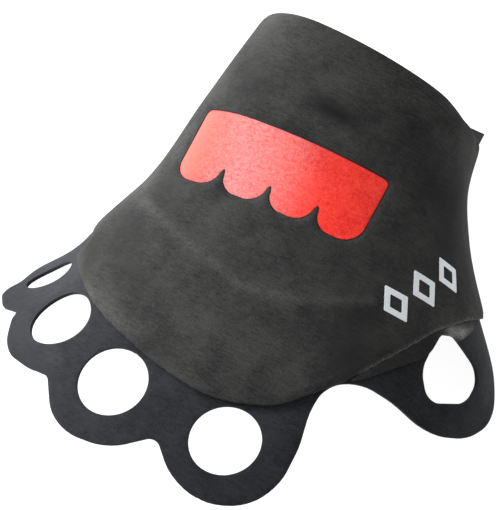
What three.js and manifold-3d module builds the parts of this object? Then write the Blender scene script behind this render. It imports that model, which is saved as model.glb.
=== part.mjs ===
// A crack climbing glove for the right hand, seen with the back of the hand up.
// Millimetres, +Z up, fingers towards -Y, thumb side towards +X.
// Every layer is a flat pattern that is cut out and then formed over the shape of the hand.
// Pattern coordinates: s runs across the back (+ to the thumb side), t runs from the wrist
// edge to the fingers, h is the height above the inner face of the base layer.
import * as THREE from "three";
import Module from "manifold-3d";

const { Manifold, Mesh: CsgMesh } = await startManifold();

// Layer heights. The base layer is next to the hand and the overlay is on top of it.
const LAYER_GAP = 0.3;
const BASE_THICK = 1.1;
const OVERLAY_THICK = 1.6;
const INLAY_THICK = 1.1;
const STRIP_THICK = 1.3;
const PATCH_THICK = 1.2;
const OVERLAY_FLOOR = BASE_THICK + LAYER_GAP;

// The form that the sheets are bent over, one row for each section across the hand.
// t: distance from the wrist edge; crown: height of the centre line above the ground;
// tilt and crownR: lean (degrees) and radius of the back of the hand; then for the
// little-finger side (u) and the thumb side (r) the width of the crown, the radius of the
// curl that turns down the side, and the angle that it turns through.
const FORM_COLUMNS = ["t", "crown", "tilt", "crownR", "uFlat", "uR", "uTurn", "rFlat", "rR", "rTurn"];
const FORM_ROWS = [
  [0, 52.4, 12.5, 70, 12.5, 19.5, 97, 20, 32.5, 56],
  [15, 51.7, 10.5, 77, 14.5, 21, 95, 24, 32.5, 60],
  [30, 50.8, 7.5, 85, 16.5, 23, 91, 28, 37.5, 62],
  [60, 48.1, 0, 120, 20, 30, 88, 34, 54, 60],
  [80, 46.1, 0, 160, 20, 43.5, 61, 40, 62, 44],
  [100, 44.4, 0, 200, 15.5, 52, 40, 40, 62, 32],
  [125, 42.6, 0, 200, 19.5, 67, 33, 40, 62, 25],
  [150, 39, 0, 200, 19.5, 67, 33, 40, 62, 25],
];
// Under the wrist both sides turn level: the strap side lies on the ground, and the
// little-finger flap lies above the strap and the closure patch. Past the cuff's length the
// level falls away by LEVEL_FALL for each millimetre of t, so the sides hang straight there.
const STRAP_LEVEL = BASE_THICK;
const FLAP_LEVEL = STRAP_LEVEL + LAYER_GAP + PATCH_THICK + LAYER_GAP + BASE_THICK;
const STRAP_UNDER_R = 7;
const FLAP_UNDER_R = 12;
const CUFF_LENGTH = 40;
const LEVEL_FALL = 3;

// Folds that wear has left in all the layers: the line that each one follows in s and t, its
// half width, and its height, which is less than 0 for a dent.
const FOLDS = [
  {
    name: "wrist dent",
    line: [[-28, 24], [-8, 22], [8, 21], [24, 24]],
    width: 5.5,
    height: -0.9,
  },
  {
    name: "knuckle ridge",
    line: [[-38, 70], [-19, 78], [3, 83.5], [20, 80], [38, 70]],
    width: 5,
    height: 0.5,
  },
];

// The middle of the whole glove's extent, which is put on the origin.
const CENTRE_X = 3;
const CENTRE_Y = -67.7;

// Mesh steps along s and t, and the chord of the arcs in the outlines.
const STEP_S = 4;
const STEP_T = 6;
const ARC_STEP = Math.PI / 9;
const EDGE_STEP = 7;
const HOLE_POINTS = 28;
// The sheets are cut on a slightly domed surface, which keeps the inner mesh points.
const DOME = 0.002;
const DOME_MIDDLE = 60;
const SLAB_MARGIN = 2;
const CUT_DEPTH = 60;

const SUEDE = { color: "#3a3a38", roughness: 0.95 };
const MICROSUEDE = { color: "#2c2d32", roughness: 0.9 };
const RED_SUEDE = { color: "#e8302a", roughness: 0.85 };
const HOOK_TAPE = { color: "#17181a", roughness: 1 };

// Pattern outlines as corner tables: s, t and the radius that rounds the corner.
const BASE_OUTLINE = [
  // wrist edge, from the flap under the wrist to the seam with the strap
  [-108.5, 1.5, 4],
  [43.7, 1.5, 1],
  [43.7, 24.5, 1],
  // thumb side edge and thumb loop
  [65.5, 24.5, 3],
  [84, 46, 10],
  [87.4, 49.3, 8],
  [95.3, 59.5, 9],
  [94.6, 77.5, 18],
  [85.5, 88.2, 20],
  [72, 95, 30],
  [57.5, 92.8, 30],
  // web between thumb and index finger
  [46, 92.7, 15],
  [38.3, 98.2, 12],
  [37, 106, 30],
  // index loop
  [39.3, 118, 18],
  [39.3, 133, 18],
  [28, 144, 18],
  [11.9, 144.2, 18],
  [1, 133.7, 3.5],
  // middle loop
  [-10.8, 142.9, 18],
  [-28.8, 144, 16],
  [-38.6, 130.3, 3],
  // ring loop
  [-47.5, 129.9, 18],
  [-61.2, 126.7, 18],
  [-68.8, 115.3, 12],
  [-68.8, 112.6, 1.5],
  // little loop
  [-78.5, 111.6, 4],
  [-85.4, 106.8, 4],
  [-85.6, 103.4, 4],
  [-83.4, 100.4, 8],
  [-90, 87.5, 8],
  [-79, 82, 10],
  // little-finger side, out of sight, down to the flap
  [-64, 62, 20],
  [-66, 30, 10],
  [-114.5, 27, 4],
];
// Finger holes: centre s and t, half width, half length and turn of the long axis (degrees).
const FINGER_HOLES = [
  { name: "little", s: -69.8, t: 96.8, a: 9.8, b: 5, turn: -23 },
  { name: "ring", s: -46.8, t: 112, a: 11.3, b: 9.5, turn: -8 },
  { name: "middle", s: -18.6, t: 124.6, a: 10.8, b: 10.2, turn: -30 },
  { name: "index", s: 19.4, t: 126, a: 10.7, b: 9.8, turn: -40 },
];
// The thumb hole is a drop with its narrow end towards the wrist.
const THUMB_HOLE = [
  [61.2, 66.8, 3],
  [66.8, 63.9, 3],
  [83.5, 67.5, 6],
  [80.5, 79, 9],
  [67, 87, 5],
  [60.8, 79.5, 8],
];
const OVERLAY_OUTLINE = [
  [-52, 0, 8],
  [30, 0, 20],
  [40, 1, 10],
  [47, 0, 10],
  [56, -2.5, 6],
  [63.2, -2, 3],
  [64.6, 20, 14],
  [77.5, 40, 20],
  [83, 49.7, 3],
  [69.4, 56.9, 20],
  [59.6, 66.9, 20],
  [42.5, 94.8, 60],
  [27.7, 111, 16],
  [12.5, 116.9, 30],
  [-4, 116.4, 70],
  [-33.5, 107.7, 60],
  [-57.6, 90, 5],
  [-53, 84.5, 6],
  [-57.5, 79.5, 6],
  [-53, 70, 20],
  [-55, 45, 20],
];
// The window is a band over the knuckles: a straight edge on the wrist side and a row of
// rounded lobes on the finger side.
const WINDOW = {
  left: -33.5,
  right: 27,
  top: 36,
  bottom: 60,
  slant: -0.03,
  cornerR: 2,
  lobes: 4,
  lobeRound: 0.44,
  cusp: 51,
  cuspR: 0.8,
  wedge: 1.5,
};
const STRIP_OUTLINE = [
  [42.9, 95.6, 0.4],
  [60.1, 67.2, 20],
  [69.7, 57.4, 20],
  [73.4, 55.6, 0.8],
  [70, 63.6, 1],
  [66.8, 63.1, 3],
  [60.9, 66.2, 3],
  [60.5, 74, 8],
  [58.6, 77.5, 8],
  [47, 91, 30],
];
const STRAP_OUTLINE = [
  [44, 0, 1],
  [50, -2.6, 3],
  [67.5, -9.8, 4],
  [73, -1, 6],
  [119, -1, 4],
  [131, 24, 4],
  [44, 24, 1],
];
const PATCH_OUTLINE = [
  [-106, 2, 2],
  [-86, 2, 2],
  [-90.5, 22, 2],
  [-110.5, 22, 2],
];

async function startManifold() {
  const wasm = await Module();
  wasm.setup();
  return wasm;
}

const radians = THREE.MathUtils.degToRad;

// Slope of one form column at a row, for a smooth curve through the rows.
function slopeAt(column, i) {
  const last = FORM_ROWS.length - 1;
  const step = (k) => FORM_ROWS[k + 1][0] - FORM_ROWS[k][0];
  const rise = (k) => (FORM_ROWS[k + 1][column] - FORM_ROWS[k][column]) / step(k);
  if (i === 0) return rise(0);
  if (i === last) return rise(last - 1);
  return (rise(i - 1) * step(i) + rise(i) * step(i - 1)) / (step(i) + step(i - 1));
}

// The form's sizes at a distance t from the wrist edge.
function formAt(t) {
  const last = FORM_ROWS.length - 1;
  const clamped = THREE.MathUtils.clamp(t, FORM_ROWS[0][0], FORM_ROWS[last][0]);
  const above = FORM_ROWS.findIndex((row) => row[0] > clamped);
  const i = above < 0 ? last - 1 : above - 1;
  const length = FORM_ROWS[i + 1][0] - FORM_ROWS[i][0];
  const u = (clamped - FORM_ROWS[i][0]) / length;
  const sizes = {};
  FORM_COLUMNS.forEach((name, column) => {
    const start = FORM_ROWS[i][column] * (1 + 2 * u) * (1 - u) ** 2;
    const startSlope = slopeAt(column, i) * length * u * (1 - u) ** 2;
    const end = FORM_ROWS[i + 1][column] * u * u * (3 - 2 * u);
    const endSlope = slopeAt(column, i + 1) * length * u * u * (u - 1);
    sizes[name] = start + startSlope + end + endSlope;
  });
  return sizes;
}

// Walks along a section: an arc of the given radius from angle a, for a length.
function walkArc(walk, radius, length) {
  const l = Math.min(walk.rest, length);
  const end = walk.angle + l / radius;
  walk.x += radius * (Math.sin(end) - Math.sin(walk.angle));
  walk.z -= radius * (Math.cos(walk.angle) - Math.cos(end));
  walk.angle = end;
  walk.rest -= l;
}

function walkStraight(walk, length) {
  const l = Math.min(walk.rest, length);
  walk.x += l * Math.cos(walk.angle);
  walk.z -= l * Math.sin(walk.angle);
  walk.rest -= l;
}

// A point of the form's surface and the slope of the section there.
function formPoint(s, t) {
  const f = formAt(t);
  const side = s < 0 ? -1 : 1;
  const [flat, curlR, turn] = s < 0 ? [f.uFlat, f.uR, f.uTurn] : [f.rFlat, f.rR, f.rTurn];
  const underR = s < 0 ? FLAP_UNDER_R : STRAP_UNDER_R;
  const cuffLevel = s < 0 ? FLAP_LEVEL : STRAP_LEVEL;
  const level = cuffLevel - LEVEL_FALL * Math.max(t - CUFF_LENGTH, 0);
  const walk = { x: 0, z: f.crown, angle: side * radians(f.tilt), rest: Infinity };
  const curl = { ...walk };
  walkArc(curl, f.crownR, flat);
  walkArc(curl, curlR, curlR * radians(turn));
  const wall = (curl.z - level - underR * (1 + Math.cos(curl.angle))) / Math.sin(curl.angle);
  walk.rest = Math.abs(s);
  walkArc(walk, f.crownR, flat);
  walkArc(walk, curlR, curlR * radians(turn));
  walkStraight(walk, Math.max(wall, 0));
  walkArc(walk, underR, underR * (Math.PI - curl.angle));
  walkStraight(walk, walk.rest);
  return { point: new THREE.Vector3(side * walk.x, -t, walk.z), slope: side * walk.angle };
}

// How far the folds lift the layers at a pattern point.
function foldHeight(s, t) {
  const here = new THREE.Vector3(s, t, 0);
  let height = 0;
  for (const { line, width, height: top } of FOLDS) {
    let away = Infinity;
    for (let i = 1; i < line.length; i++) {
      const stretch = new THREE.Line3(new THREE.Vector3(...line[i - 1], 0), new THREE.Vector3(...line[i], 0));
      away = Math.min(away, stretch.closestPointToPoint(here, true, new THREE.Vector3()).distanceTo(here));
    }
    height += top * Math.exp(-((away / width) ** 2));
  }
  return height;
}

// The place in space of a pattern point at height h over the form.
function place(s, t, h) {
  const nudge = 0.05;
  const { point, slope } = formPoint(s, t);
  const across = new THREE.Vector3(Math.cos(slope), 0, -Math.sin(slope));
  const along = formPoint(s, t + nudge).point.sub(point);
  const normal = along.cross(across).normalize();
  point.addScaledVector(normal, h + foldHeight(s, t));
  return point.sub(new THREE.Vector3(CENTRE_X, CENTRE_Y, 0));
}

// Outline points of a closed polygon whose corners are rounded, edges cut into short steps.
function roundedOutline(corners) {
  const count = corners.length;
  const ends = corners.map(([s, t, radius], i) => {
    const corner = new THREE.Vector2(s, t);
    const before = new THREE.Vector2(...corners[(i + count - 1) % count]).sub(corner);
    const after = new THREE.Vector2(...corners[(i + 1) % count]).sub(corner);
    const a = before.clone().normalize();
    const b = after.clone().normalize();
    const half = Math.acos(THREE.MathUtils.clamp(a.dot(b), -1, 1)) / 2;
    const room = 0.49 * Math.min(before.length(), after.length());
    const reach = Math.min(radius / Math.tan(half), room);
    const r = reach * Math.tan(half);
    const centre = corner.clone().addScaledVector(a.clone().add(b).normalize(), r / Math.sin(half));
    const from = corner.clone().addScaledVector(a, reach);
    const to = corner.clone().addScaledVector(b, reach);
    return { centre, from, to, r, sweep: Math.PI - 2 * half };
  });
  const points = [];
  ends.forEach(({ centre, from, to, r, sweep }, i) => {
    const start = from.clone().sub(centre);
    const turn = Math.sign(start.cross(to.clone().sub(centre))) * sweep;
    const steps = Math.max(1, Math.ceil(Math.max(sweep / ARC_STEP, (r * sweep) / EDGE_STEP)));
    for (let k = 0; k <= steps; k++) {
      points.push(centre.clone().add(start.clone().rotateAround(new THREE.Vector2(), (turn * k) / steps)));
    }
    const next = ends[(i + 1) % count].from;
    const pieces = Math.ceil(to.distanceTo(next) / EDGE_STEP);
    for (let k = 1; k < pieces; k++) points.push(to.clone().lerp(next, k / pieces));
  });
  return points;
}

function ellipseOutline({ s, t, a, b, turn }) {
  const curve = new THREE.EllipseCurve(s, t, a, b, 0, 2 * Math.PI, false, radians(turn));
  return curve.getPoints(HOLE_POINTS).slice(0, -1);
}

// The window's corner table, made larger all round by grow.
function windowCorners(grow) {
  const { left, right, top, bottom, slant, cornerR, lobes, lobeRound, cusp, cuspR, wedge } = WINDOW;
  const lean = (s) => slant * (s - left);
  const width = (right - left) / lobes;
  const corners = [
    [left - grow, top - grow, cornerR + grow],
    [right + grow, top - grow + lean(right), cornerR + grow],
  ];
  for (let k = lobes - 1; k >= 0; k--) {
    const edge = left + k * width;
    const from = k === 0 ? edge - grow : edge + wedge - grow;
    const to = k === lobes - 1 ? right + grow : edge + width - wedge + grow;
    const lobeR = lobeRound * width;
    corners.push([to, bottom + grow + lean(to), lobeR], [from, bottom + grow + lean(from), lobeR]);
    if (k > 0) corners.push([edge, cusp + grow + lean(edge), cuspR]);
  }
  return corners;
}

function dome(s, t) {
  return -DOME * (s * s + (t - DOME_MIDDLE) ** 2);
}

function toManifold(geometry) {
  const position = geometry.getAttribute("position");
  const index = geometry.index ? geometry.index.array : [...Array(position.count).keys()];
  const mesh = new CsgMesh({
    numProp: 3,
    vertProperties: new Float32Array(position.array),
    triVerts: new Uint32Array(index),
  });
  mesh.merge();
  return new Manifold(mesh);
}

function toGeometry(solid) {
  const mesh = solid.getMesh();
  const geometry = new THREE.BufferGeometry();
  geometry.setAttribute("position", new THREE.BufferAttribute(new Float32Array(mesh.vertProperties), 3));
  geometry.setIndex(new THREE.BufferAttribute(new Uint32Array(mesh.triVerts), 1));
  return geometry;
}

// A prism over an outline, tall enough to cut through the domed slab.
function cutter(points) {
  const geometry = new THREE.ExtrudeGeometry(new THREE.Shape(points), {
    depth: 2 * CUT_DEPTH,
    bevelEnabled: false,
  });
  geometry.translate(0, 0, -CUT_DEPTH);
  geometry.deleteAttribute("uv");
  geometry.deleteAttribute("normal");
  return toManifold(geometry);
}

// A slab over the outline's extent, with mesh points every step, bent into the dome.
function domedSlab(points, floor, thick, stepS) {
  const box = new THREE.Box2().setFromPoints(points).expandByScalar(SLAB_MARGIN);
  const size = box.getSize(new THREE.Vector2());
  const centre = box.getCenter(new THREE.Vector2());
  const [across, along] = [Math.ceil(size.x / stepS), Math.ceil(size.y / STEP_T)];
  const geometry = new THREE.BoxGeometry(size.x, size.y, thick, across, along, 1);
  geometry.translate(centre.x, centre.y, floor + thick / 2);
  const position = geometry.getAttribute("position");
  for (let i = 0; i < position.count; i++) {
    position.setZ(i, position.getZ(i) + dome(position.getX(i), position.getY(i)));
  }
  return toManifold(geometry);
}

// Cuts a sheet to its outline and holes, then forms it over the hand.
function sheet(name, look, { outline, holes = [], floor, thick, stepS = STEP_S }) {
  let solid = domedSlab(outline, floor, thick, stepS).intersect(cutter(outline));
  for (const hole of holes) solid = solid.subtract(cutter(hole));
  const geometry = toGeometry(solid);
  const position = geometry.getAttribute("position");
  for (let i = 0; i < position.count; i++) {
    const [s, t] = [position.getX(i), position.getY(i)];
    const placed = place(s, t, position.getZ(i) - dome(s, t));
    position.setXYZ(i, placed.x, placed.y, placed.z);
  }
  // t runs towards -Y, which turns the faces over, so their corners are put the other way round.
  geometry.index.array.reverse();
  geometry.computeVertexNormals();
  const mesh = new THREE.Mesh(geometry, new THREE.MeshStandardMaterial({ ...look, metalness: 0 }));
  mesh.name = name;
  return mesh;
}

function fingerPanel() {
  return sheet("finger_panel", MICROSUEDE, {
    outline: roundedOutline(BASE_OUTLINE),
    holes: [...FINGER_HOLES.map(ellipseOutline), roundedOutline(THUMB_HOLE)],
    floor: 0,
    thick: BASE_THICK,
  });
}

function backPanel() {
  return sheet("back_panel", SUEDE, {
    outline: roundedOutline(OVERLAY_OUTLINE),
    holes: [roundedOutline(windowCorners(0))],
    floor: OVERLAY_FLOOR,
    thick: OVERLAY_THICK,
  });
}

function redInlay() {
  return sheet("red_inlay", RED_SUEDE, {
    outline: roundedOutline(windowCorners(-LAYER_GAP)),
    floor: OVERLAY_FLOOR,
    thick: INLAY_THICK,
  });
}

function thumbStrip() {
  return sheet("thumb_strip", SUEDE, {
    outline: roundedOutline(STRIP_OUTLINE),
    floor: OVERLAY_FLOOR,
    thick: STRIP_THICK,
  });
}

function wristStrap() {
  return sheet("wrist_strap", MICROSUEDE, {
    outline: roundedOutline(STRAP_OUTLINE),
    floor: 0,
    thick: BASE_THICK,
    stepS: STEP_S / 2,
  });
}

function closurePatch() {
  return sheet("closure_patch", HOOK_TAPE, {
    outline: roundedOutline(PATCH_OUTLINE),
    floor: OVERLAY_FLOOR,
    thick: PATCH_THICK,
  });
}

const glove = new THREE.Group();
glove.add(fingerPanel(), backPanel(), redInlay(), thumbStrip(), wristStrap(), closurePatch());

export default glove;
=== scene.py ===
"""A crack climbing glove for the right hand, lying with the back of the hand up.

Every layer starts as a flat pattern, is cut out, gets its thickness and its rounded rim, and is
then formed over the shape of the hand, as the solids of the frame are.
Pattern coordinates are in millimetres: s runs across the back (+ to the thumb side), t runs
from the wrist edge to the fingers, and h is the height above the inner face of the base layer.
"""

import functools
import math

import bmesh
import bpy
from mathutils import Matrix, Vector, geometry, kdtree, noise


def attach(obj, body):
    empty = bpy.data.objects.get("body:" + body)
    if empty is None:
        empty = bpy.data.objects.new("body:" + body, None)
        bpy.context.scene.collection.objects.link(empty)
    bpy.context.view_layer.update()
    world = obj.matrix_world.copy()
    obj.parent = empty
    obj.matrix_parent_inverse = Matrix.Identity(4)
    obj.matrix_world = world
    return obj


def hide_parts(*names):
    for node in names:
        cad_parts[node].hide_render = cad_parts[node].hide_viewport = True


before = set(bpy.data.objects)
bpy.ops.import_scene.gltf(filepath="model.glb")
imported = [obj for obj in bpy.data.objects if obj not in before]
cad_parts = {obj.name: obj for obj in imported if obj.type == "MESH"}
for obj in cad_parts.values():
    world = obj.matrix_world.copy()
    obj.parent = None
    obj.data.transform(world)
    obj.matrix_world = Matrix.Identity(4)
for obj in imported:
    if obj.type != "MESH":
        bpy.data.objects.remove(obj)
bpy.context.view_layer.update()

MM = 0.001
PHOTO_WIDTH = 497
PHOTO_HEIGHT = 510

# Layer heights. The base layer is next to the hand and the overlay is on top of it.
LAYER_GAP = 0.3
BASE_THICK = 1.1
OVERLAY_THICK = 1.6
STRIP_THICK = 1.3
INLAY_THICK = 1.1
PATCH_THICK = 1.2
INK_THICK = 0.12
OVERLAY_FLOOR = BASE_THICK + LAYER_GAP
# The ink sinks a quarter of its thickness into the nap.
INK_FLOOR = OVERLAY_FLOOR + OVERLAY_THICK - INK_THICK / 4

# The middle of the whole glove's extent, which the frame has on its origin.
CENTRE = Vector((3.0, -67.7, 0.0))

# The form that the sheets are bent over, one row for each section across the hand.
# t: distance from the wrist edge; crown: height of the centre line above the ground;
# tilt and crown_r: lean (degrees) and radius of the back of the hand; then for the
# little-finger side (u) and the thumb side (r) the width of the crown, the radius of the
# curl that turns down the side, and the angle that it turns through.
FORM_COLUMNS = ("t", "crown", "tilt", "crown_r", "u_flat", "u_r", "u_turn", "r_flat", "r_r", "r_turn")
FORM_ROWS = (
    (0, 52.4, 12.5, 70, 12.5, 19.5, 97, 20, 32.5, 56),
    (15, 51.7, 10.5, 77, 14.5, 21, 95, 24, 32.5, 60),
    (30, 50.8, 7.5, 85, 16.5, 23, 91, 28, 37.5, 62),
    (60, 48.1, 0, 120, 20, 30, 88, 34, 54, 60),
    (80, 46.1, 0, 160, 20, 43.5, 61, 40, 62, 44),
    (100, 44.4, 0, 200, 15.5, 52, 40, 40, 62, 32),
    (125, 42.6, 0, 200, 19.5, 67, 33, 40, 62, 25),
    (150, 39, 0, 200, 19.5, 67, 33, 40, 62, 25),
)
# Under the wrist the strap lies on the ground, and the flap lies over it with the patch
# between them. Both turn under with a radius of their own.
STRAP_LEVEL = BASE_THICK
FLAP_LEVEL = STRAP_LEVEL + LAYER_GAP + PATCH_THICK + LAYER_GAP + BASE_THICK
STRAP_UNDER_R = 7
FLAP_UNDER_R = 12
# Past the cuff these levels fall by so many millimetres for each one towards the fingers, so
# the sides no longer turn under.
CUFF_LENGTH = 40
LEVEL_FALL = 3

# Folds that wear has left in all the layers: the line that each one follows in s and t, its
# half width, and its height, which is less than 0 for a dent.
WRIST_DENT = (((-28, 24), (-8, 22), (8, 21), (24, 24)), 5.5, -0.9)
KNUCKLE_RIDGE = (((-38, 70), (-19, 78), (3, 83.5), (20, 80), (38, 70)), 5, 0.5)
FOLDS = (WRIST_DENT, KNUCKLE_RIDGE)

# Where the colour is made paler and where darker: the line, its half width and the share of the
# change on the line. The pale marks are painted highlights, where light catches the knuckle
# ridge, the dent's far flank and the cut edges, with some rubbed nap; the dark marks are
# painted shade in the wrist crease and on the thumb side, which faces away from the light,
# with some matted nap.
HIGHLIGHTS_AND_RUBS_SUEDE = (
    (KNUCKLE_RIDGE[0], 1.6, 0.08),
    (((-36, 71), (-31, 76)), 3, 0.05),
    (((-18, 5), (0, 8), (18, 6)), 8, 0.035),
    (((-10, 17), (2, 16)), 4, 0.025),
    (((-10, 29), (0, 29.5), (9, 28)), 2.5, 0.04),
    (((-44, 58), (-50, 74), (-55, 82)), 2.5, 0.05),
    (((-42, 100.5), (-30, 106.5), (-20, 109.5)), 2.5, 0.07),
    (((45, 90.7), (59.6, 66.9), (69.4, 56.9), (81, 50.6)), 0.5, 0.3),
)
SHADE_AND_MATTING_SUEDE = (
    (((-4, 23.6), (9, 23.6)), 4, 0.55),
    (((0, 23.4), (6, 23.4)), 2.2, 0.45),
    (((-28, 22), (-22, 27)), 5, 0.3),
    (((-50, 80), (-37, 86), (-28, 95)), 8, 0.45),
    (((-51, 88), (-47, 93)), 4.5, 0.5),
    (((-33, 62), (-34, 74)), 7, 0.55),
    (((20, 60), (40, 60), (54, 48)), 12, 0.2),
    (((40, 30), (55, 42)), 10, 0.25),
    (((-26, 10), (-26, 27)), 7, 0.25),
    (((36, 75), (38, 86)), 8, 0.6),
    (((41, 92), (52, 76)), 6, 0.35),
    (((28, 20), (36, 24), (49, 26)), 9, 0.35),
    (((49, 18), (50, 40)), 7, 0.35),
)
# Painted sheen on the red suede: a pale pink highlight in the middle and a washed salmon tone at the left,
# where the light glances off the nap.
PAINTED_SHEEN_RED_MIDDLE = (
    (((-16, 36), (-14, 62)), 9, 0.7),
    (((-3, 38), (-1, 62)), 8, 0.45),
)
PAINTED_SHEEN_RED_LEFT = (
    (((-37, 34), (-35, 62)), 9, 0.85),
)
# The same for the base layer, whose outer loops, which face the light, get painted shade and
# whose thumb side, turned from the light, gets painted light, and for the strip, whose fold
# gets a painted highlight and whose left end and right tip are made darker.
PAINTED_SHADE_BASE = (
    (((-86, 104), (-72, 116), (-58, 126)), 9, 0.5),
    (((-84, 90), (-66, 88)), 6, 0.3),
    (((-50, 128), (-36, 136)), 8, 0.25),
)
PAINTED_LIGHT_BASE = (
    (((18, 119), (30, 112), (40, 101), (52, 90)), 4, 0.06),
    (((55, 86), (75, 92), (91, 72)), 8, 0.025),
    (((86, 66), (89, 74)), 2.5, 0.06),
)
PAINTED_HIGHLIGHT_STRIP = (
    (((64, 64.5), (68, 62.5)), 1.8, 0.7),
    (((68, 62.5), (71.5, 58.8)), 1.2, 0.35),
)
DARKER_STRIP_PARTS = (
    (((44, 94), (52, 82), (60, 70)), 6, 0.6),
    (((71, 58), (74, 56)), 3, 0.5),
)

# Pattern outlines as corner tables: s, t and the radius that rounds the corner.
BASE_OUTLINE = (
    # wrist edge, from the flap under the wrist to the seam with the strap
    (-108.5, 1.5, 4),
    (43.7, 1.5, 1),
    (43.7, 24.5, 1),
    # thumb side edge and thumb loop
    (65.5, 24.5, 3),
    (84, 46, 10),
    (87.4, 49.3, 8),
    (95.3, 59.5, 9),
    (94.6, 77.5, 18),
    (85.5, 88.2, 20),
    (72, 95, 30),
    (57.5, 92.8, 30),
    # web between thumb and index finger
    (46, 92.7, 15),
    (38.3, 98.2, 12),
    (37, 106, 30),
    # index loop
    (39.3, 118, 18),
    (39.3, 133, 18),
    (28, 144, 18),
    (11.9, 144.2, 18),
    (1, 133.7, 3.5),
    # middle loop
    (-10.8, 142.9, 18),
    (-28.8, 144, 16),
    (-38.6, 130.3, 3),
    # ring loop
    (-47.5, 129.9, 18),
    (-61.2, 126.7, 18),
    (-68.8, 115.3, 12),
    (-68.8, 112.6, 1.5),
    # little loop
    (-78.5, 111.6, 4),
    (-85.4, 106.8, 4),
    (-85.6, 103.4, 4),
    (-83.4, 100.4, 8),
    (-90, 87.5, 8),
    (-79, 82, 10),
    # little-finger side, out of sight, down to the flap
    (-64, 62, 20),
    (-66, 30, 10),
    (-114.5, 27, 4),
)
# Finger holes: centre s and t, half width, half length and turn of the long axis (degrees).
FINGER_HOLES = (
    (-69.8, 96.8, 9.8, 5, -23),
    (-46.8, 112, 11.3, 9.5, -8),
    (-18.6, 124.6, 10.8, 10.2, -30),
    (19.4, 126, 10.7, 9.8, -40),
)
# The thumb hole is a drop with its narrow end towards the wrist.
THUMB_HOLE = (
    (61.2, 66.8, 3),
    (66.8, 63.9, 3),
    (83.5, 67.5, 6),
    (80.5, 79, 9),
    (67, 87, 5),
    (60.8, 79.5, 8),
)
OVERLAY_OUTLINE = (
    (-52, 0, 8),
    (30, 0, 20),
    (40, 1, 10),
    (47, 0, 10),
    (56, -2.5, 6),
    (63.2, -2, 3),
    (64.6, 20, 14),
    (77.5, 40, 20),
    (82.2, 48.8, 4),
    (69.4, 56.9, 20),
    (59.6, 66.9, 20),
    (42.5, 94.8, 60),
    (27.7, 111, 16),
    (12.5, 116.9, 30),
    (-4, 116.4, 70),
    (-33.5, 107.7, 60),
    (-57.6, 90, 5),
    (-53, 84.5, 6),
    (-57.5, 79.5, 6),
    (-53, 70, 20),
    (-55, 45, 20),
)
STRIP_OUTLINE = (
    (42.6, 94.9, 0.4),
    (59.7, 66.96, 20),
    (69.47, 57, 20),
    (73.8, 55, 0.8),
    (71.4, 60.5, 6),
    (68.1, 65.4, 0.8),
    (65.4, 64.9, 2),
    (61.2, 67, 3),
    (60.5, 74, 8),
    (58.6, 77.5, 8),
    (47, 91, 30),
)
STRAP_OUTLINE = (
    (44, 0, 1),
    (50, -2.6, 3),
    (64.5, -8.75, 1.5),
    (69.6, -8.6, 2),
    (73, -1, 6),
    (119, -1, 4),
    (131, 24, 4),
    (44, 24, 1),
)
PATCH_OUTLINE = (
    (-106, 2, 2),
    (-86, 2, 2),
    (-90.5, 22, 2),
    (-110.5, 22, 2),
)
# The window is a band over the knuckles: a straight edge on the wrist side and a row of
# rounded lobes on the finger side.
WINDOW_LEFT = -33.5
WINDOW_RIGHT = 27
WINDOW_TOP = 36
WINDOW_BOTTOM = 60
WINDOW_SLANT = -0.03
WINDOW_CORNER_R = 2
WINDOW_LOBES = 4
WINDOW_LOBE_ROUND = 0.44
WINDOW_CUSP = 51
WINDOW_CUSP_R = 0.8
WINDOW_WEDGE = 1.5

# The room that is left round the red suede in its window.
INLAY_GAP = 0.15

# A row of printed diamonds beside the thumb loop: first and last centre, and the half
# diagonals across and along the row.
MARK_COUNT = 3
MARK_START = Vector((44.6, 67.2))
MARK_END = Vector((55.4, 49.8))
MARK_LONG = 6.2
MARK_SHORT = 4.2
MARK_TIP_R = 0.35
# The half diagonals of the hole in a diamond are shorter by these, for a 1.7 mm stroke.
MARK_LONG_STROKE = 3.0
MARK_SHORT_STROKE = 2.1

# How finely the patterns are divided: the square grid, the turn of one step on a rounded
# corner, the sides of a finger hole and the spacing of points along a rim.
GRID_STEP = 2.0
ARC_STEP = math.pi / 24
HOLE_SIDES = 64
RIM_STEP = 0.5
# The largest share of a side that a rounded corner takes, and the share of the grid's step
# under which vertices are merged.
CORNER_SHARE = 0.49
SLIVER_SHARE = 0.05
# Points closer than these count as on the cutting plane, or as level with each other.
CUT_SLACK = 1e-4
LEVEL_SLACK = 1e-3

# Edges where the faces turn by more than RIM_ANGLE are rims, and are rounded this far.
RIM_ANGLE = math.radians(60)
RIM_ROUND = 0.28
# How far in from the rim the paring reaches, and the nicks in the cut edge, as the waves per
# millimetre and the strength of each noise. They grow from the wrist edge to RAGGED_FROM.
SKIVE_REACH = 0.8
NICKS = ((0.9, 1), (2.7, 0.5))
RAGGED_FROM = 60
# The noise starts from the clock unless it is given a seed, so this keeps the nicks in place.
NICK_SEED = 1
noise.seed_set(NICK_SEED)


def slope_at(column, i):
    """Slope of one form column at a row, for a smooth curve through the rows."""
    def step(k):
        return FORM_ROWS[k + 1][0] - FORM_ROWS[k][0]

    def rise(k):
        return (FORM_ROWS[k + 1][column] - FORM_ROWS[k][column]) / step(k)

    last = len(FORM_ROWS) - 1
    if i == 0:
        return rise(0)
    if i == last:
        return rise(last - 1)
    return (rise(i - 1) * step(i) + rise(i) * step(i - 1)) / (step(i) + step(i - 1))


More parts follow.
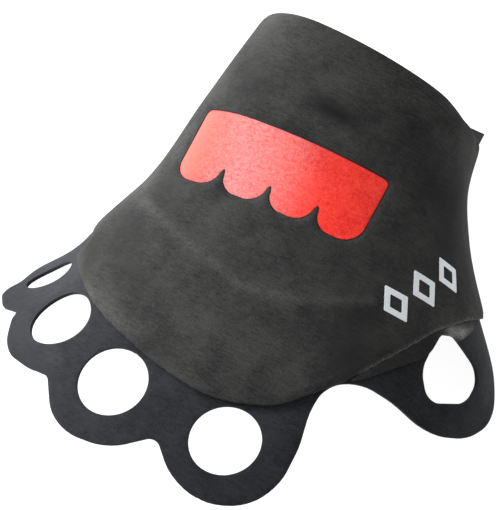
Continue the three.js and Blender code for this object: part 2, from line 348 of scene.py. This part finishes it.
@functools.lru_cache(maxsize=None)
def form_at(t):
    """The form's sizes at a distance t from the wrist edge."""
    clamped = min(max(t, FORM_ROWS[0][0]), FORM_ROWS[-1][0])
    i = max(k for k in range(len(FORM_ROWS) - 1) if FORM_ROWS[k][0] <= clamped)
    length = FORM_ROWS[i + 1][0] - FORM_ROWS[i][0]
    u = (clamped - FORM_ROWS[i][0]) / length
    sizes = {}
    for column, name in enumerate(FORM_COLUMNS):
        start = FORM_ROWS[i][column] * (1 + 2 * u) * (1 - u) ** 2
        start_slope = slope_at(column, i) * length * u * (1 - u) ** 2
        end = FORM_ROWS[i + 1][column] * u * u * (3 - 2 * u)
        end_slope = slope_at(column, i + 1) * length * u * u * (u - 1)
        sizes[name] = start + start_slope + end + end_slope
    return sizes


def walk_arc(walk, radius, length):
    """Walks along a section on an arc: (x, z, angle, length left)."""
    x, z, angle, rest = walk
    step = min(rest, length)
    end = angle + step / radius
    x += radius * (math.sin(end) - math.sin(angle))
    z -= radius * (math.cos(angle) - math.cos(end))
    return x, z, end, rest - step


def walk_straight(walk, length):
    """Walks along a section on a straight line, in the same terms."""
    x, z, angle, rest = walk
    step = min(rest, length)
    return x + step * math.cos(angle), z - step * math.sin(angle), angle, rest - step


def form_point(s, t):
    """A point of the form's surface and the slope of the section there."""
    f = form_at(t)
    side = -1 if s < 0 else 1
    if s < 0:
        flat, curl_r, turn = f["u_flat"], f["u_r"], math.radians(f["u_turn"])
        under_r, level = FLAP_UNDER_R, FLAP_LEVEL
    else:
        flat, curl_r, turn = f["r_flat"], f["r_r"], math.radians(f["r_turn"])
        under_r, level = STRAP_UNDER_R, STRAP_LEVEL
    level -= LEVEL_FALL * max(t - CUFF_LENGTH, 0)
    start = (0, f["crown"], side * math.radians(f["tilt"]), math.inf)
    curl = walk_arc(walk_arc(start, f["crown_r"], flat), curl_r, curl_r * turn)
    wall = (curl[1] - level - under_r * (1 + math.cos(curl[2]))) / math.sin(curl[2])
    walk = (*start[:3], abs(s))
    walk = walk_arc(walk, f["crown_r"], flat)
    walk = walk_arc(walk, curl_r, curl_r * turn)
    walk = walk_straight(walk, max(wall, 0))
    walk = walk_arc(walk, under_r, under_r * (math.pi - curl[2]))
    x, z, angle, _ = walk_straight(walk, math.inf)
    return Vector((side * x, -t, z)), side * angle


def distance_to_line(s, t, line):
    """Distance from a pattern point to a line of straight stretches."""
    here = Vector((s, t))
    distances = []
    for start, end in zip(line, line[1:]):
        point, share = geometry.intersect_point_line(here, start, end)
        if share < 0:
            point = Vector(start)
        elif share > 1:
            point = Vector(end)
        distances.append((point.xy - here).length)
    return min(distances)


def fold_height(s, t):
    """How far the shallow folds lift or sink the layers at a pattern point."""
    height = 0
    for line, half_width, top in FOLDS:
        height += top * math.exp(-((distance_to_line(s, t, line) / half_width) ** 2))
    return height


def wear_and_painted_light(s, t, lines):
    """How strongly one table of lines marks a pattern point, from 0 to 1: rubbed or matted nap, painted
    highlights, painted shade or painted sheen.
    """
    changed = 0
    for line, half_width, share in lines:
        changed += share * math.exp(-((distance_to_line(s, t, line) / half_width) ** 2))
    return min(changed, 1)


# The step in t that gives the surface's direction at a point.
NUDGE = 0.05


def place(s, t, h):
    """The place in the frame, in metres, of a pattern point at height h over the form."""
    point, slope = form_point(s, t)
    across = Vector((math.cos(slope), 0, -math.sin(slope)))
    along = form_point(s, t + NUDGE)[0] - point
    normal = along.cross(across).normalized()
    return (point + normal * (h + fold_height(s, t)) - CENTRE) * MM


def corner_loop(bm, corners):
    """A flat face with the table's corners, each rounded by a vertex bevel."""
    verts = [bm.verts.new((s, t, 0)) for s, t, _ in corners]
    bm.faces.new(verts)
    count = len(corners)
    plans = []
    for i, vert in enumerate(verts):
        before = verts[i - 1].co - vert.co
        after = verts[(i + 1) % count].co - vert.co
        half = before.angle(after) / 2
        room = CORNER_SHARE * min(before.length, after.length)
        reach = min(corners[i][2] / math.tan(half), room)
        segments = max(2, math.ceil((math.pi - 2 * half) / ARC_STEP))
        plans.append((vert, reach, segments))
    for vert, reach, segments in plans:
        bmesh.ops.bevel(
            bm,
            geom=[vert],
            offset=reach,
            offset_type="OFFSET",
            segments=segments,
            profile=0.5,
            affect="VERTICES",
            material=-1,
        )


def ellipse_loop(bm, hole):
    """A flat face in the shape of an ellipse."""
    s, t, half_width, half_length, turn = hole
    matrix = Matrix.Translation((s, t, 0)) @ Matrix.Rotation(math.radians(turn), 4, "Z")
    matrix = matrix @ Matrix.Diagonal((half_width, half_length, 1, 1))
    bmesh.ops.create_circle(bm, cap_ends=True, segments=HOLE_SIDES, radius=1, matrix=matrix)


def grid_cut(bm, step):
    """Cuts a flat fill along a square grid, and dissolves the fill's own edges."""
    for axis in (Vector((1, 0, 0)), Vector((0, 1, 0))):
        places = [vert.co.dot(axis) for vert in bm.verts]
        k = math.ceil(min(places) / step)
        while k * step < max(places):
            geom = bm.verts[:] + bm.edges[:] + bm.faces[:]
            bmesh.ops.bisect_plane(
                bm,
                geom=geom,
                dist=CUT_SLACK,
                plane_co=axis * k * step,
                plane_no=axis,
            )
            k += 1
    leftover = []
    for edge in bm.edges:
        along = edge.verts[1].co - edge.verts[0].co
        slants = min(abs(along.x), abs(along.y)) > LEVEL_SLACK
        if len(edge.link_faces) == 2 and slants:
            leftover.append(edge)
    bmesh.ops.dissolve_edges(bm, edges=leftover, use_verts=False)


def flat_pattern(outline, holes=(), corner_holes=(), step=GRID_STEP):
    """The flat cut of a layer with its holes, divided finely enough to be bent."""
    bm = bmesh.new()
    corner_loop(bm, outline)
    for corners in corner_holes:
        corner_loop(bm, corners)
    for hole in holes:
        ellipse_loop(bm, hole)
    bmesh.ops.delete(bm, geom=bm.faces[:], context="FACES_ONLY")
    bmesh.ops.triangle_fill(bm, edges=bm.edges[:], use_beauty=True, normal=(0, 0, 1))
    grid_cut(bm, step)
    bmesh.ops.remove_doubles(bm, verts=bm.verts[:], dist=SLIVER_SHARE * step)
    return bm


def rim_tree(bm):
    """A search tree of points along every cut edge of a flat pattern."""
    points = []
    for edge in bm.edges:
        if edge.is_boundary:
            a, b = (vert.co.copy() for vert in edge.verts)
            pieces = max(1, math.ceil((b - a).length / RIM_STEP))
            points += [a.lerp(b, k / pieces) for k in range(pieces)]
    tree = kdtree.KDTree(len(points))
    for i, point in enumerate(points):
        tree.insert(point, i)
    tree.balance()
    return tree


def thicken(bm, thick, rim_round):
    """Gives a flat pattern its thickness, from 0 up, and rounds the rims of its cut edges."""
    bmesh.ops.solidify(bm, geom=bm.faces[:], thickness=thick)
    lowest = min(vert.co.z for vert in bm.verts)
    bmesh.ops.translate(bm, verts=bm.verts[:], vec=(0, 0, -lowest))
    bmesh.ops.recalc_face_normals(bm, faces=bm.faces[:])
    rims = [
        edge for edge in bm.edges
        if abs(edge.verts[0].co.z - edge.verts[1].co.z) < LEVEL_SLACK
        and edge.calc_face_angle(0) > RIM_ANGLE
    ]
    bmesh.ops.bevel(
        bm,
        geom=rims,
        offset=rim_round,
        offset_type="OFFSET",
        segments=2,
        profile=0.5,
        affect="EDGES",
        material=-1,
        clamp_overlap=True,
    )


def finish_piece(name, bm, material, slot, *nodes):
    """Makes the object of a piece, lets it ride and hides the frame's parts that it stands for."""
    mesh = bpy.data.meshes.new(name)
    for face in bm.faces:
        face.smooth = True
    bm.to_mesh(mesh)
    bm.free()
    mesh.materials.append(material)
    piece = bpy.data.objects.new(name, mesh)
    bpy.context.scene.collection.objects.link(piece)
    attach(piece, "root")
    if nodes:
        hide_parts(*nodes)


def layer(
    name,
    bm,
    floor,
    thick,
    material,
    slot,
    *nodes,
    ragged=0,
    skive=0,
    rim_round=RIM_ROUND,
    rubbed_and_highlit=(),
    matted_shade_and_sheen=(),
):
    """Thickens a flat pattern, notes its pattern coordinates, and forms it over the hand.

    ragged is how far nicks go into the cut edge, and skive the share of the thickness that
    is pared off towards it. The two tables of marks make the colour paler and darker: the
    pale one paints rubbed nap and painted highlights, the dark one matted nap, painted shade
    and, on the red, painted sheen.
    """
    tree = rim_tree(bm)
    thicken(bm, thick, rim_round)
    uv = bm.loops.layers.uv.new("pattern")
    rim = bm.verts.layers.float.new("rim_mm")
    rubbed_and_highlit_layer = bm.verts.layers.float.new("rubbed_and_highlit")
    matted_shade_and_sheen_layer = bm.verts.layers.float.new("matted_shade_and_sheen")
    for face in bm.faces:
        for loop in face.loops:
            loop[uv].uv = loop.vert.co.xy * MM
    for vert in bm.verts:
        flat = Vector((vert.co.x, vert.co.y, 0))
        away = tree.find(flat)[2]
        vert[rim] = away
        vert[rubbed_and_highlit_layer] = wear_and_painted_light(flat.x, flat.y, rubbed_and_highlit)
        vert[matted_shade_and_sheen_layer] = wear_and_painted_light(flat.x, flat.y, matted_shade_and_sheen)
        height = vert.co.z * (1 - skive * math.exp(-((away / SKIVE_REACH) ** 2)))
        nick = Vector((0, 0, 0))
        for waves, strength in NICKS:
            nick += noise.noise_vector(flat * waves) * strength
        flat += Vector((nick.x, nick.y, 0)) * ragged * min(flat.y / RAGGED_FROM, 1) * math.exp(-away)
        vert.co = place(flat.x, flat.y, floor + height)
    bmesh.ops.recalc_face_normals(bm, faces=bm.faces[:])
    finish_piece(name, bm, material, slot, *nodes)


def window_corners(grow):
    """The window's corner table, made larger all round by grow."""
    def lean(s):
        return WINDOW_SLANT * (s - WINDOW_LEFT)

    width = (WINDOW_RIGHT - WINDOW_LEFT) / WINDOW_LOBES
    lobe_r = WINDOW_LOBE_ROUND * width
    corners = [
        (WINDOW_LEFT - grow, WINDOW_TOP - grow, WINDOW_CORNER_R + grow),
        (WINDOW_RIGHT + grow, WINDOW_TOP - grow + lean(WINDOW_RIGHT), WINDOW_CORNER_R + grow),
    ]
    for k in reversed(range(WINDOW_LOBES)):
        edge = WINDOW_LEFT + k * width
        start = edge - grow if k == 0 else edge + WINDOW_WEDGE - grow
        end = WINDOW_RIGHT + grow if k == WINDOW_LOBES - 1 else edge + width - WINDOW_WEDGE + grow
        corners.append((end, WINDOW_BOTTOM + grow + lean(end), lobe_r))
        corners.append((start, WINDOW_BOTTOM + grow + lean(start), lobe_r))
        if k > 0:
            corners.append((edge, WINDOW_CUSP + grow + lean(edge), WINDOW_CUSP_R))
    return corners


def mark_loop(centre, long, short):
    """Corner table of one printed diamond, its long axis across the row of marks."""
    row = (MARK_END - MARK_START).normalized()
    across = Vector((row.y, -row.x))
    tips = (across * long, row * short, -across * long, -row * short)
    return [(centre.x + tip.x, centre.y + tip.y, MARK_TIP_R) for tip in tips]


def linear(hex_colour):
    """An sRGB hex colour as linear RGBA."""
    channels = [int(hex_colour[i:i + 2], 16) / 255 for i in (1, 3, 5)]
    return (*[c / 12.92 if c <= 0.04045 else ((c + 0.055) / 1.055) ** 2.4 for c in channels], 1)


def find_socket(sockets, identifier):
    """The socket with an identifier, or None. Sockets of one node can share a name."""
    return next((socket for socket in sockets if socket.identifier == identifier), None)


def fill_in(tree, node, settings):
    """Sets a node's properties and sockets. A value that is another node's output is linked."""
    for name, value in settings.items():
        socket = find_socket(node.inputs, name)
        if socket is None:
            setattr(node, name, value)
        elif isinstance(value, bpy.types.NodeSocket):
            tree.links.new(value, socket)
        else:
            socket.default_value = value


def add_node(tree, kind, output, settings):
    """Adds a node with its settings and links, and gives back one of its outputs."""
    node = tree.nodes.new(kind)
    fill_in(tree, node, settings)
    return find_socket(node.outputs, output)


def new_material(name):
    """A new material, its node tree and its shader node."""
    material = bpy.data.materials.new(name)
    material.use_nodes = True
    tree = material.node_tree
    return material, tree, tree.nodes["Principled BSDF"]


# The nap is brushed along this direction of the pattern. Single fibres are under 0.1 mm, too
# fine to show, so the tufts and streaks of the materials are drawn 0.4 to 3 mm in size.
NAP_TURN = math.radians(-14)
NAP_DEPTH_MM = 0.25
CLOUD_MM = 12
# How much of the tufts goes over the streaks, and of the large blotches over both.
TUFT_SHARE = 0.65
CLOUD_SHARE = 0.42
# How a value is spread out, from low and high to low and high: the noise to the tones, the
# nap to how patchily the pale marks of rubbed nap and painted highlight show, and the distance
# from a rim in millimetres to the raw edge.
TONE_SPREAD = (0.4, 0.6, 0, 1)
RUB_AND_HIGHLIGHT_SPREAD = (0.35, 0.6, 0.3, 1)
RAW_EDGE_SPREAD = (0.02, 0.3, 1, 0)


def suede(name, tones, streak_mm, grain_mm, shine, sheen, bump, cloudy=0.7):
    """Split leather or microsuede: a napped surface, brushed into soft streaks.

    tones are the colour of the dark marks (matted nap, painted shade, and on the red a washed
    painted sheen), the nap in its hollows and on its tufts, the colour of the pale marks
    (rubbed nap and painted highlights), and the cut edge. streak_mm is how long and how wide
    a brushed streak is, and grain_mm is the size of a tuft. shine is the roughness and level
    of the gloss, and sheen is the weight, roughness and tint of the light that the nap
    scatters. bump is the strength of the relief, and cloudy is how strong the small blotches
    are beside the large ones.
    """
    material, tree, shader = new_material(name)
    matted_shade_and_sheen, hollow, tuft, rubbed_and_highlit, raw = (linear(tone) for tone in tones)
    marks = {}
    for key in ("rubbed_and_highlit", "matted_shade_and_sheen", "rim_mm"):
        marks[key] = add_node(tree, "ShaderNodeAttribute", "Fac", {"attribute_name": key})

    # The streaks follow the pattern, and the rest lies in the piece itself. A row gives the
    # place that a noise reads, its size in millimetres, its detail and its roughness.
    inside = add_node(tree, "ShaderNodeTexCoord", "Object", {})
    pattern = add_node(tree, "ShaderNodeUVMap", "UV", {"uv_map": "pattern"})
    stretched = (1 / streak_mm[0], 1 / streak_mm[1], 1)
    turned = {"Vector": pattern, "Rotation": (0, 0, NAP_TURN), "Scale": stretched}
    brushed = add_node(tree, "ShaderNodeMapping", "Vector", turned)
    noises = []
    for vector, size_mm, detail, roughness in (
        (brushed, 1, 2, 0.6),
        (inside, grain_mm, 2, 0.7),
        (inside, CLOUD_MM, 4, cloudy),
    ):
        settings = {"Vector": vector, "Scale": 1 / (size_mm * MM), "Detail": detail, "Roughness": roughness}
        noises.append(add_node(tree, "ShaderNodeTexNoise", "Fac", settings))
    streaks, tufts, clouds = noises
    settings = {"data_type": "FLOAT", "Factor_Float": TUFT_SHARE, "A_Float": streaks, "B_Float": tufts}
    nap = add_node(tree, "ShaderNodeMix", "Result_Float", settings)
    settings = {"data_type": "FLOAT", "Factor_Float": CLOUD_SHARE, "A_Float": nap, "B_Float": clouds}
    clouded = add_node(tree, "ShaderNodeMix", "Result_Float", settings)

    spreads = []
    for value, (low, high, to_low, to_high) in (
        (clouded, TONE_SPREAD),
        (nap, RUB_AND_HIGHLIGHT_SPREAD),
        (marks["rim_mm"], RAW_EDGE_SPREAD),
    ):
        settings = {"Value": value, "From Min": low, "From Max": high, "To Min": to_low, "To Max": to_high}
        spreads.append(add_node(tree, "ShaderNodeMapRange", "Result", settings))
    tone, patchy, raw_edge = spreads
    # The pale marks, rubbed nap and painted highlights, show patchily with the nap.
    settings = {"operation": "MULTIPLY", "Value": marks["rubbed_and_highlit"], "Value_001": patchy}
    rub_and_highlight_share = add_node(tree, "ShaderNodeMath", "Value", settings)

    # The colours lie over one another, each by its own share: the dark marks paint matted nap, painted
    # shade and painted sheen, and the pale marks rubbed nap and painted highlights.
    face = hollow
    for share, colour in (
        (tone, tuft),
        (marks["matted_shade_and_sheen"], matted_shade_and_sheen),
        (raw_edge, raw),
        (rub_and_highlight_share, rubbed_and_highlit),
    ):
        settings = {"data_type": "RGBA", "Factor_Float": share, "A_Color": face, "B_Color": colour}
        face = add_node(tree, "ShaderNodeMix", "Result_Color", settings)
    relief = {"Strength": bump, "Distance": NAP_DEPTH_MM * MM, "Height": nap}
    fill_in(
        tree,
        shader,
        {
            "Base Color": face,
            "Normal": add_node(tree, "ShaderNodeBump", "Normal", relief),
            "Roughness": shine[0],
            "Specular IOR Level": shine[1],
            "Sheen Weight": sheen[0],
            "Sheen Roughness": sheen[1],
            "Sheen Tint": linear(sheen[2]),
        },
    )
    return material


# Split cowhide suede, dyed charcoal and brushed: a fine grain, soft streaks and a frosted nap.
HIDE_LOOK = {
    # The first tone paints the shade and matted nap, the fourth the highlights and rubbed nap.
    "tones": ("#161616", "#1f1f1f", "#393938", "#8a8a88", "#2a2827"),
    "streak_mm": (3, 0.8),
    "grain_mm": 0.45,
    "shine": (0.9, 0.12),
    "sheen": (0.05, 0.5, "#c8c8c8"),
}
charcoal_suede = suede("split_cowhide_suede", bump=0.5, **HIDE_LOOK)
# The same hide, skived thin for the strip, which leaves its nap flatter.
skived_suede = suede("skived_cowhide_suede", bump=0.4, **HIDE_LOOK)
# Woven microfibre suede, blue-black, with a shorter and more even nap than hide.
black_microsuede = suede(
    "microfibre_suede",
    # The first tone paints shade on the outer loops, the fourth painted light on the thumb side.
    tones=("#0c0d10", "#121315", "#28292d", "#5c5e66", "#26272b"),
    streak_mm=(3, 1),
    grain_mm=0.4,
    shine=(0.85, 0.15),
    sheen=(0.08, 0.4, "#b4b8c4"),
    bump=0.4,
)
# Split suede dyed bright red. The first and fourth tones are painted sheen: a washed salmon at the left and
# a pale pink in the middle, where the light glances off the nap.
red_suede = suede(
    "dyed_red_suede",
    tones=("#9a5a4f", "#cf1a15", "#f03f31", "#c88f8e", "#6c120e"),
    streak_mm=(1.6, 1.2),
    grain_mm=0.6,
    shine=(0.7, 0.2),
    sheen=(0.15, 0.5, "#ffb4ac"),
    bump=0.5,
    cloudy=0.8,
)
# Moulded nylon hooks on a woven tape, near black and shinier than suede. They are far finer
# than the render shows, so they are drawn as a short nap.
hook_tape = suede(
    "nylon_hook_tape",
    tones=("#08090a", "#0f1012", "#1d1e21", "#2c2d30", "#1a1b1d"),
    streak_mm=(1.4, 1.4),
    grain_mm=0.5,
    shine=(0.5, 0.4),
    sheen=(0.1, 0.5, "#777777"),
    bump=1.0,
)

# Screen-printed plastisol ink, pale grey and satin. It lies on the nap, which shows faintly.
INK_GRAIN_MM = 0.8
INK_DEPTH_MM = 0.1
INK_TONES = ("#c4c9cd", "#e2e6e9")
print_ink, ink_tree, ink_shader = new_material("plastisol_print_ink")
ink_grain = add_node(
    ink_tree,
    "ShaderNodeTexNoise",
    "Fac",
    {
        "Vector": add_node(ink_tree, "ShaderNodeTexCoord", "Object", {}),
        "Scale": 1 / (INK_GRAIN_MM * MM),
        "Detail": 2,
        "Roughness": 0.6,
    },
)
ink_colour = add_node(
    ink_tree,
    "ShaderNodeMix",
    "Result_Color",
    {
        "data_type": "RGBA",
        "Factor_Float": ink_grain,
        "A_Color": linear(INK_TONES[0]),
        "B_Color": linear(INK_TONES[1]),
    },
)
ink_relief = {"Strength": 0.3, "Distance": INK_DEPTH_MM * MM, "Height": ink_grain}
fill_in(
    ink_tree,
    ink_shader,
    {
        "Base Color": ink_colour,
        "Normal": add_node(ink_tree, "ShaderNodeBump", "Normal", ink_relief),
        "Roughness": 0.6,
    },
)

layer(
    "finger_panel_microsuede",
    flat_pattern(BASE_OUTLINE, holes=FINGER_HOLES, corner_holes=[THUMB_HOLE]),
    0,
    BASE_THICK,
    black_microsuede,
    "microsuede",
    "finger_panel",
    # Painted light on the thumb side, painted shade on the outer loops.
    rubbed_and_highlit=PAINTED_LIGHT_BASE,
    matted_shade_and_sheen=PAINTED_SHADE_BASE,
)
layer(
    "back_panel_suede",
    flat_pattern(OVERLAY_OUTLINE, corner_holes=[window_corners(0)], step=1),
    OVERLAY_FLOOR,
    OVERLAY_THICK,
    charcoal_suede,
    "suede",
    "back_panel",
    ragged=0.2,
    skive=0.25,
    rim_round=0.35,
    # Painted highlights and painted shade, with some rubbed and matted nap.
    rubbed_and_highlit=HIGHLIGHTS_AND_RUBS_SUEDE,
    matted_shade_and_sheen=SHADE_AND_MATTING_SUEDE,
)
layer(
    "window_suede",
    flat_pattern(window_corners(-INLAY_GAP), step=1),
    OVERLAY_FLOOR,
    INLAY_THICK,
    red_suede,
    "red_suede",
    "red_inlay",
    rim_round=0.1,
    # Painted sheen.
    rubbed_and_highlit=PAINTED_SHEEN_RED_MIDDLE,
    matted_shade_and_sheen=PAINTED_SHEEN_RED_LEFT,
)
layer(
    "thumb_strip_suede",
    flat_pattern(STRIP_OUTLINE, step=1),
    OVERLAY_FLOOR,
    STRIP_THICK,
    skived_suede,
    "suede",
    "thumb_strip",
    # A painted highlight on the fold, and darker ends.
    rubbed_and_highlit=PAINTED_HIGHLIGHT_STRIP,
    matted_shade_and_sheen=DARKER_STRIP_PARTS,
)
layer(
    "wrist_strap_microsuede",
    flat_pattern(STRAP_OUTLINE, step=1.5),
    0,
    BASE_THICK,
    black_microsuede,
    "microsuede",
    "wrist_strap",
)
layer(
    "closure_patch_hooks",
    flat_pattern(PATCH_OUTLINE),
    OVERLAY_FLOOR,
    PATCH_THICK,
    hook_tape,
    "hook_tape",
    "closure_patch",
)
for k in range(MARK_COUNT):
    middle = MARK_START.lerp(MARK_END, k / (MARK_COUNT - 1))
    inner = mark_loop(middle, MARK_LONG - MARK_LONG_STROKE, MARK_SHORT - MARK_SHORT_STROKE)
    layer(
        f"printed_mark_{k + 1}",
        flat_pattern(mark_loop(middle, MARK_LONG, MARK_SHORT), corner_holes=[inner], step=0.5),
        INK_FLOOR,
        INK_THICK,
        print_ink,
        "suede",
        rim_round=0.04,
    )

# The camera looks down on the back of the hand from the finger end, with the fingers
# pointing to the lower left of the picture.
AIM = Vector((0, -60, 32.4))
VIEW_AXIS = Vector((0.25, -0.317, 0.93)).normalized()
VIEW_TURN = math.radians(-119.1)
VIEW_DISTANCE = 700
PIXELS_PER_MM = 3.31
AIM_PIXEL = Vector((274.2, 236.0))

fingers = Vector((0, -1, 0))
along_view = (fingers - VIEW_AXIS * fingers.dot(VIEW_AXIS)).normalized()
beside_view = VIEW_AXIS.cross(along_view)
view_right = math.cos(VIEW_TURN) * along_view - math.sin(VIEW_TURN) * beside_view
view_up = math.sin(VIEW_TURN) * along_view + math.cos(VIEW_TURN) * beside_view
camera_data = bpy.data.cameras.new("camera")
camera_data.sensor_width = 36
camera_data.lens = PIXELS_PER_MM * VIEW_DISTANCE * camera_data.sensor_width / PHOTO_HEIGHT
camera_data.shift_x = (PHOTO_WIDTH / 2 - AIM_PIXEL.x) / PHOTO_HEIGHT
camera_data.shift_y = (AIM_PIXEL.y - PHOTO_HEIGHT / 2) / PHOTO_HEIGHT
camera_data.clip_end = 20
camera = bpy.data.objects.new("camera", camera_data)
turned = Matrix((view_right, view_up, VIEW_AXIS)).transposed().to_4x4()
camera.matrix_world = Matrix.Translation((AIM + VIEW_AXIS * VIEW_DISTANCE - CENTRE) * MM) @ turned
bpy.context.scene.collection.objects.link(camera)
bpy.context.scene.camera = camera

# A plain floor that shows white, just clear of the strap's underside. It is matt paper with
# some light of its own, so that the glove's shadow stays faint.
FLOOR_CLEAR_MM = 0.1
FLOOR_HALF_M = 4
FLOOR_GLOW = 0.92
floor_bm = bmesh.new()
bmesh.ops.create_grid(floor_bm, x_segments=1, y_segments=1, size=FLOOR_HALF_M)
bmesh.ops.translate(floor_bm, verts=floor_bm.verts[:], vec=(0, 0, -FLOOR_CLEAR_MM * MM))
floor_mesh = bpy.data.meshes.new("floor")
floor_bm.to_mesh(floor_mesh)
floor_bm.free()
floor_material, _, floor_shader = new_material("white_paper_floor")
floor_shader.inputs["Base Color"].default_value = linear("#959595")
floor_shader.inputs["Roughness"].default_value = 1
floor_shader.inputs["Specular IOR Level"].default_value = 0
floor_shader.inputs["Emission Color"].default_value = linear("#ffffff")
floor_shader.inputs["Emission Strength"].default_value = FLOOR_GLOW
floor_mesh.materials.append(floor_material)
floor = bpy.data.objects.new("floor", floor_mesh)
bpy.context.scene.collection.objects.link(floor)

# White light from all round fills the shadows.
WORLD_LIGHT = 0.7
world = bpy.data.worlds.new("studio")
world.use_nodes = True
world.node_tree.nodes["Background"].inputs["Color"].default_value = (1, 1, 1, 1)
world.node_tree.nodes["Background"].inputs["Strength"].default_value = WORLD_LIGHT
bpy.context.scene.world = world
bpy.context.scene.view_settings.view_transform = "Standard"


def soft_box(name, spot, power, size):
    """A square soft light at a place in the frame, in metres, that faces the glove."""
    data = bpy.data.lights.new(name, "AREA")
    data.energy = power
    data.size = size
    light = bpy.data.objects.new(name, data)
    light.location = spot
    light.rotation_euler = spot.to_track_quat("Z", "Y").to_euler()
    bpy.context.scene.collection.objects.link(light)


# One low light from the little-finger side, a quarter turn off the view.
KEY_SPOT = Vector((-1.62, 0.12, 0.53))
KEY_WATTS = 112
KEY_SIZE = 1.3
soft_box("key_light", KEY_SPOT, KEY_WATTS, KEY_SIZE)
